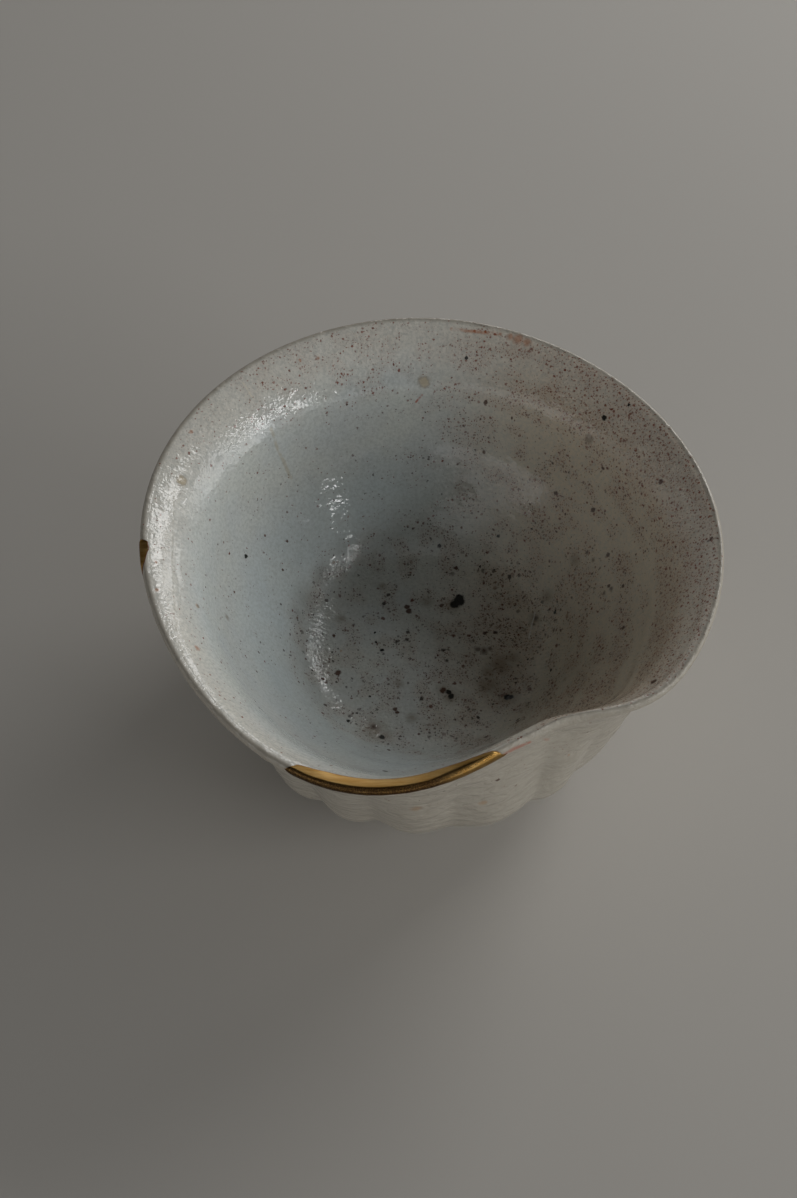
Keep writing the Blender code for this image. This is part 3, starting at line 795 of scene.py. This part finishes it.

    # the larger spots and stains, each where it is on the real pot, and ragged, with one patch of painted shade among
    # them; then the fine lines, one of them a painted glint
    ragged = addNode(tree, "TexNoise", {"Vector": place, "Scale": 1 / 1.1, "Detail": 3.0, "Roughness": 0.6}, out=1)
    ragged = addNode(tree, "VectorMath", {0: ragged, 1: (0.5, 0.5, 0.5)}, operation="SUBTRACT")
    ragged = addNode(tree, "VectorMath", {0: ragged, 3: 1.1}, operation="SCALE")
    ragged = addNode(tree, "VectorMath", {0: place, 1: ragged}, operation="ADD")
    for code, strength, softness, spots in ironSpots:
        cover = None
        for pixel, width in spots:
            centre = placeOnPot(potTree, camera, pixel)
            far = addNode(tree, "VectorMath", {0: ragged, 1: tuple(centre)}, out=1, operation="DISTANCE")
            spot = addNode(tree, "MapRange", {0: far, 1: width * (0.5 + softness), 2: width * (0.5 - softness),
                                              3: 0.0, 4: 1.0})
            cover = spot if cover is None else addNode(tree, "Math", {0: cover, 1: spot}, operation="MAXIMUM")
        colour = laidOver(colour, times(cover, strength), fromHex(code))
    for code, width, strength, pixels in glazeLines:
        cover = None
        stops = [placeOnPot(potTree, camera, pixel) for pixel in pixels]
        for start, end in zip(stops, stops[1:]):
            span = end - start
            fromStart = addNode(tree, "VectorMath", {0: place, 1: tuple(start)}, operation="SUBTRACT")
            run = addNode(tree, "VectorMath", {0: fromStart, 1: tuple(span / span.length_squared)}, out=1,
                          operation="DOT_PRODUCT")
            run = addNode(tree, "Math", {0: run, 1: 1.0}, operation="MULTIPLY", use_clamp=True)
            nearest = addNode(tree, "VectorMath", {0: tuple(span), 3: run}, operation="SCALE")
            far = addNode(tree, "VectorMath", {0: fromStart, 1: nearest}, out=1, operation="DISTANCE")
            line = addNode(tree, "MapRange", {0: far, 1: width * 0.75, 2: width * 0.25, 3: 0.0, 4: 1.0})
            cover = line if cover is None else addNode(tree, "Math", {0: cover, 1: line}, operation="MAXIMUM")
        broken = addNode(tree, "MapRange", {0: mottle, 1: 0.38, 2: 0.52, 3: 0.2, 4: 1.0})
        colour = laidOver(colour, times(cover, strength, broken), fromHex(code))
    tree.links.new(colour, shader.inputs["Base Color"])

    # gloss, duller where the dimples crowd
    crowded = addNode(tree, "TexNoise", {"Vector": place, "Scale": 1 / 7.0, "Detail": 3.0, "Roughness": 0.7})
    crowded = addNode(tree, "MapRange", {0: crowded, 1: 0.40, 2: 0.62, 3: 0.35, 4: 1.0})
    gloss = addNode(tree, "MapRange", {0: outside, 1: 0.0, 2: 1.0, 3: glaze["insideRoughness"],
                                       4: glaze["outsideRoughness"]})
    gloss = addNode(tree, "Math", {0: crowded, 1: 0.03, 2: gloss}, operation="MULTIPLY_ADD")
    tree.links.new(gloss, shader.inputs["Roughness"])
    shader.inputs["IOR"].default_value = 1.5

    # dimples, slow swells, and the turning lines outside
    peel = addNode(tree, "TexNoise", {"Vector": place, "Scale": 1 / glaze["peelWidth"], "Detail": 1.5,
                                      "Roughness": 0.65})
    swell = addNode(tree, "TexNoise", {"Vector": place, "Scale": 1 / glaze["swellWidth"], "Detail": 2.0})
    turned = addNode(tree, "VectorMath", {0: place, 1: (0.10, 0.10, 1.0)}, operation="MULTIPLY")
    lines = addNode(tree, "TexNoise", {"Vector": turned, "Scale": 1 / glaze["trimPitch"], "Detail": 3.0,
                                       "Roughness": 0.6})
    wrinkled = addNode(tree, "VectorMath", {0: place, 1: (0.65, 0.65, 1.0)}, operation="MULTIPLY")
    wrinkles = addNode(tree, "TexNoise", {"Vector": wrinkled, "Scale": 1 / glaze["wrinkleWidth"], "Detail": 2.0,
                                          "Distortion": 0.8})
    upper = addNode(tree, "MapRange", {0: depth, 1: 9.0, 2: 15.0, 3: glaze["peelDepth"], 4: glaze["wallPeelDepth"]})
    lower = addNode(tree, "MapRange", {0: depth, 1: 38.5, 2: 41.0, 3: 0.0, 4: glaze["ringPeelDepth"]})
    height = times(peel, crowded, addNode(tree, "Math", {0: upper, 1: lower}, operation="ADD"))
    height = addNode(tree, "Math", {0: times(wrinkles, outside), 1: glaze["wrinkleDepth"], 2: height},
                     operation="MULTIPLY_ADD")
    height = addNode(tree, "Math", {0: swell, 1: glaze["swellDepth"], 2: height}, operation="MULTIPLY_ADD")
    height = addNode(tree, "Math", {0: times(lines, outside), 1: glaze["trimDepth"], 2: height},
                     operation="MULTIPLY_ADD")
    bump = addNode(tree, "Bump", {"Strength": 1.0, "Distance": mm, "Height": height})
    tree.links.new(bump, shader.inputs["Normal"])
    return material


goldFinish = {
    "bright": "#b08f58",                             # burnished powder
    "deep": "#9c773e",
    "wornAndPaintedDark": "#3d2a1b",                               # dark lacquer showing through, and painted dark reflection on the downward outer face
    "lacquer": "#5e2c1c",                            # red-brown lacquer at the edge
    "faceRoughness": 0.42,
    "outerRoughness": 0.22,
    "grain": 0.24,                                   # mm
    "grainDepth": 0.03,
    "brush": 0.9,                                    # mm, width of the burnishing strokes
}


def makeGold(name, wornAndPaintedDarkShare):
    # gold powder dusted on wet lacquer and burnished: a soft even shine on the inner face, and
    # rubbed, grainy bronze down the outer side, painted darker there too as a dark reflection on the downward face
    material, tree, shader, place = newMaterial(name)
    beyondRidge, fromEdge, alongFill = [
        addNode(tree, "Attribute", {}, out=2, attribute_name=field)
        for field in ("beyondRidge", "fromEdge", "alongFill")]
    grain = addNode(tree, "TexNoise", {"Vector": place, "Scale": 1 / goldFinish["grain"], "Detail": 3.0,
                                       "Roughness": 0.65})
    brushed = addNode(tree, "VectorMath", {0: place, 1: (0.12, 1.0, 1.0)}, operation="MULTIPLY")
    brushed = addNode(tree, "TexNoise", {"Vector": brushed, "Scale": 1 / goldFinish["brush"], "Detail": 3.0,
                                         "Roughness": 0.7})
    tone = addNode(tree, "MapRange", {0: brushed, 1: 0.38, 2: 0.62, 3: 0.0, 4: 1.0})
    colour = addNode(tree, "Mix", {0: tone, 6: fromHex(goldFinish["bright"]), 7: fromHex(goldFinish["deep"])}, out=2,
                     data_type="RGBA")
    side = addNode(tree, "MapRange", {0: beyondRidge, 1: -0.10, 2: 0.25, 3: 0.0, 4: 1.0},
                   interpolation_type="SMOOTHSTEP")
    # the right end was burnished all over, and gets less of the worn and painted dark
    dull = addNode(tree, "MapRange", {0: alongFill, 1: 0.66, 2: 0.80, 3: 1.0, 4: 0.25})
    # worn lacquer showing through down the outer side, laid on together with painted dark reflection on that downward
    # face
    rubbedAndPaintedDark = addNode(tree, "MapRange", {0: grain, 1: 0.38, 2: 0.52, 3: 0.55, 4: 1.0})
    for factor in (side, dull, wornAndPaintedDarkShare):
        rubbedAndPaintedDark = addNode(tree, "Math", {0: rubbedAndPaintedDark, 1: factor}, operation="MULTIPLY")
    colour = addNode(tree, "Mix", {0: rubbedAndPaintedDark, 6: colour, 7: fromHex(goldFinish["wornAndPaintedDark"])}, out=2, data_type="RGBA")
    margin = addNode(tree, "MapRange", {0: fromEdge, 1: 0.05, 2: 0.24, 3: 1.0, 4: 0.0})
    colour = addNode(tree, "Mix", {0: margin, 6: colour, 7: fromHex(goldFinish["lacquer"])}, out=2, data_type="RGBA")
    tree.links.new(colour, shader.inputs["Base Color"])
    metal = addNode(tree, "MapRange", {0: margin, 1: 0.0, 2: 1.0, 3: 1.0, 4: 0.2})
    tree.links.new(metal, shader.inputs["Metallic"])
    rough = addNode(tree, "MapRange", {0: side, 1: 0.0, 2: 1.0, 3: goldFinish["faceRoughness"],
                                       4: goldFinish["outerRoughness"]})
    rough = addNode(tree, "Math", {0: rubbedAndPaintedDark, 1: 0.2, 2: rough}, operation="MULTIPLY_ADD")
    tree.links.new(rough, shader.inputs["Roughness"])
    coarse = addNode(tree, "MapRange", {0: side, 1: 0.0, 2: 1.0, 3: 0.35, 4: 1.0})
    height = addNode(tree, "Math", {0: grain, 1: coarse}, operation="MULTIPLY")
    height = addNode(tree, "Math", {0: height, 1: goldFinish["grainDepth"]}, operation="MULTIPLY")
    bump = addNode(tree, "Bump", {"Strength": 1.0, "Distance": mm, "Height": height})
    tree.links.new(bump, shader.inputs["Normal"])
    return material


# Studio: pale floor and soft panels, the widest on the right like a row of windows

studio = {
    "floorSize": 3.0,                                # metres
    "floorColour": "#bfbbb4",
    "middle": (0.0, 0.0, 40.0),                      # mm, what the panels face
    # name: (watts, width and height in metres, distance in metres, angle round, angle up)
    "panels": {
        "windowBack": (3.3, (0.52, 0.34), 1.1, 45.0, 31.0),
        "windowFront": (2.0, (0.66, 0.10), 1.1, -22.0, 25.5),
        "windowLow": (2.0, (0.90, 0.28), 1.1, 4.0, 14.0),
        "lowFront": (3.1, (2.20, 0.36), 1.1, -52.0, 6.0),
        "lowRight": (2.0, (1.10, 0.22), 1.1, 66.0, 8.0),
        "lowBack": (2.4, (2.80, 0.95), 1.3, 97.0, 20.0),
        "roomFront": (1.8, (1.40, 0.55), 1.3, -124.0, 14.0),
        "roomLeft": (2.1, (2.40, 0.60), 1.3, -165.0, 9.0),
        "roomHigh": (0.85, (1.20, 0.70), 1.3, -78.0, 52.0),
    },
    "roomColour": "#dfe3e6",
    "roomStrength": 0.012,
}


def makePanel(name, watts, size, distance, angle, rise):
    data = bpy.data.lights.new(name, "AREA")
    data.shape = "RECTANGLE"
    data.size, data.size_y = size
    data.energy = watts
    panel = bpy.data.objects.new(name, data)
    turn, lift = radians(angle), radians(rise)
    away = Vector((cos(turn) * cos(lift), sin(turn) * cos(lift), sin(lift)))
    panel.location = Vector(studio["middle"]) * mm + away * distance
    panel.rotation_euler = away.to_track_quat("Z", "Y").to_euler()
    bpy.context.scene.collection.objects.link(panel)


def makeStudio():
    half = studio["floorSize"] / 2
    mesh = bpy.data.meshes.new("floor")
    mesh.from_pydata([(-half, -half, 0), (half, -half, 0), (half, half, 0), (-half, half, 0)], [], [(0, 1, 2, 3)])
    floor = bpy.data.objects.new("floor", mesh)
    bpy.context.scene.collection.objects.link(floor)
    material = bpy.data.materials.new("paleFloor")
    material.use_nodes = True
    paint = material.node_tree.nodes["Principled BSDF"]
    paint.inputs["Base Color"].default_value = fromHex(studio["floorColour"])
    paint.inputs["Roughness"].default_value = 0.8
    mesh.materials.append(material)
    for name, (watts, size, distance, angle, rise) in studio["panels"].items():
        makePanel(name, watts, size, distance, angle, rise)
    world = bpy.data.worlds.new("room")
    bpy.context.scene.world = world
    world.use_nodes = True
    world.node_tree.nodes["Background"].inputs[0].default_value = fromHex(studio["roomColour"])
    world.node_tree.nodes["Background"].inputs[1].default_value = studio["roomStrength"]
    bpy.context.scene.view_settings.view_transform = "Standard"


print("camera")
camera = makeCamera()
print("pot")
potMesh = makePot()
potTree = BVHTree.FromPolygons([v.co for v in potMesh.vertices], [p.vertices for p in potMesh.polygons])
print("glaze")
pot = showPiece("tea_bowl", potMesh, makeGlaze(potTree, camera), "pale_glaze", "bowl")
print("gold")
# both fills' outer faces are darkened by wear and by painted dark reflection, by the share passed in
showPiece("gold_rim_fill", makeFill("goldRimFill", rimFill), makeGold("goldPowderOnLacquer", 0.95),
          "gold_lacquer", "rim_repair")
showPiece("gold_chip_fill", makeFill("goldChipFill", chipFill), makeGold("wornGoldPowderPaintedDark", 0.8),
          "worn_gold_lacquer", "chip_repair")
print("studio")
makeStudio()
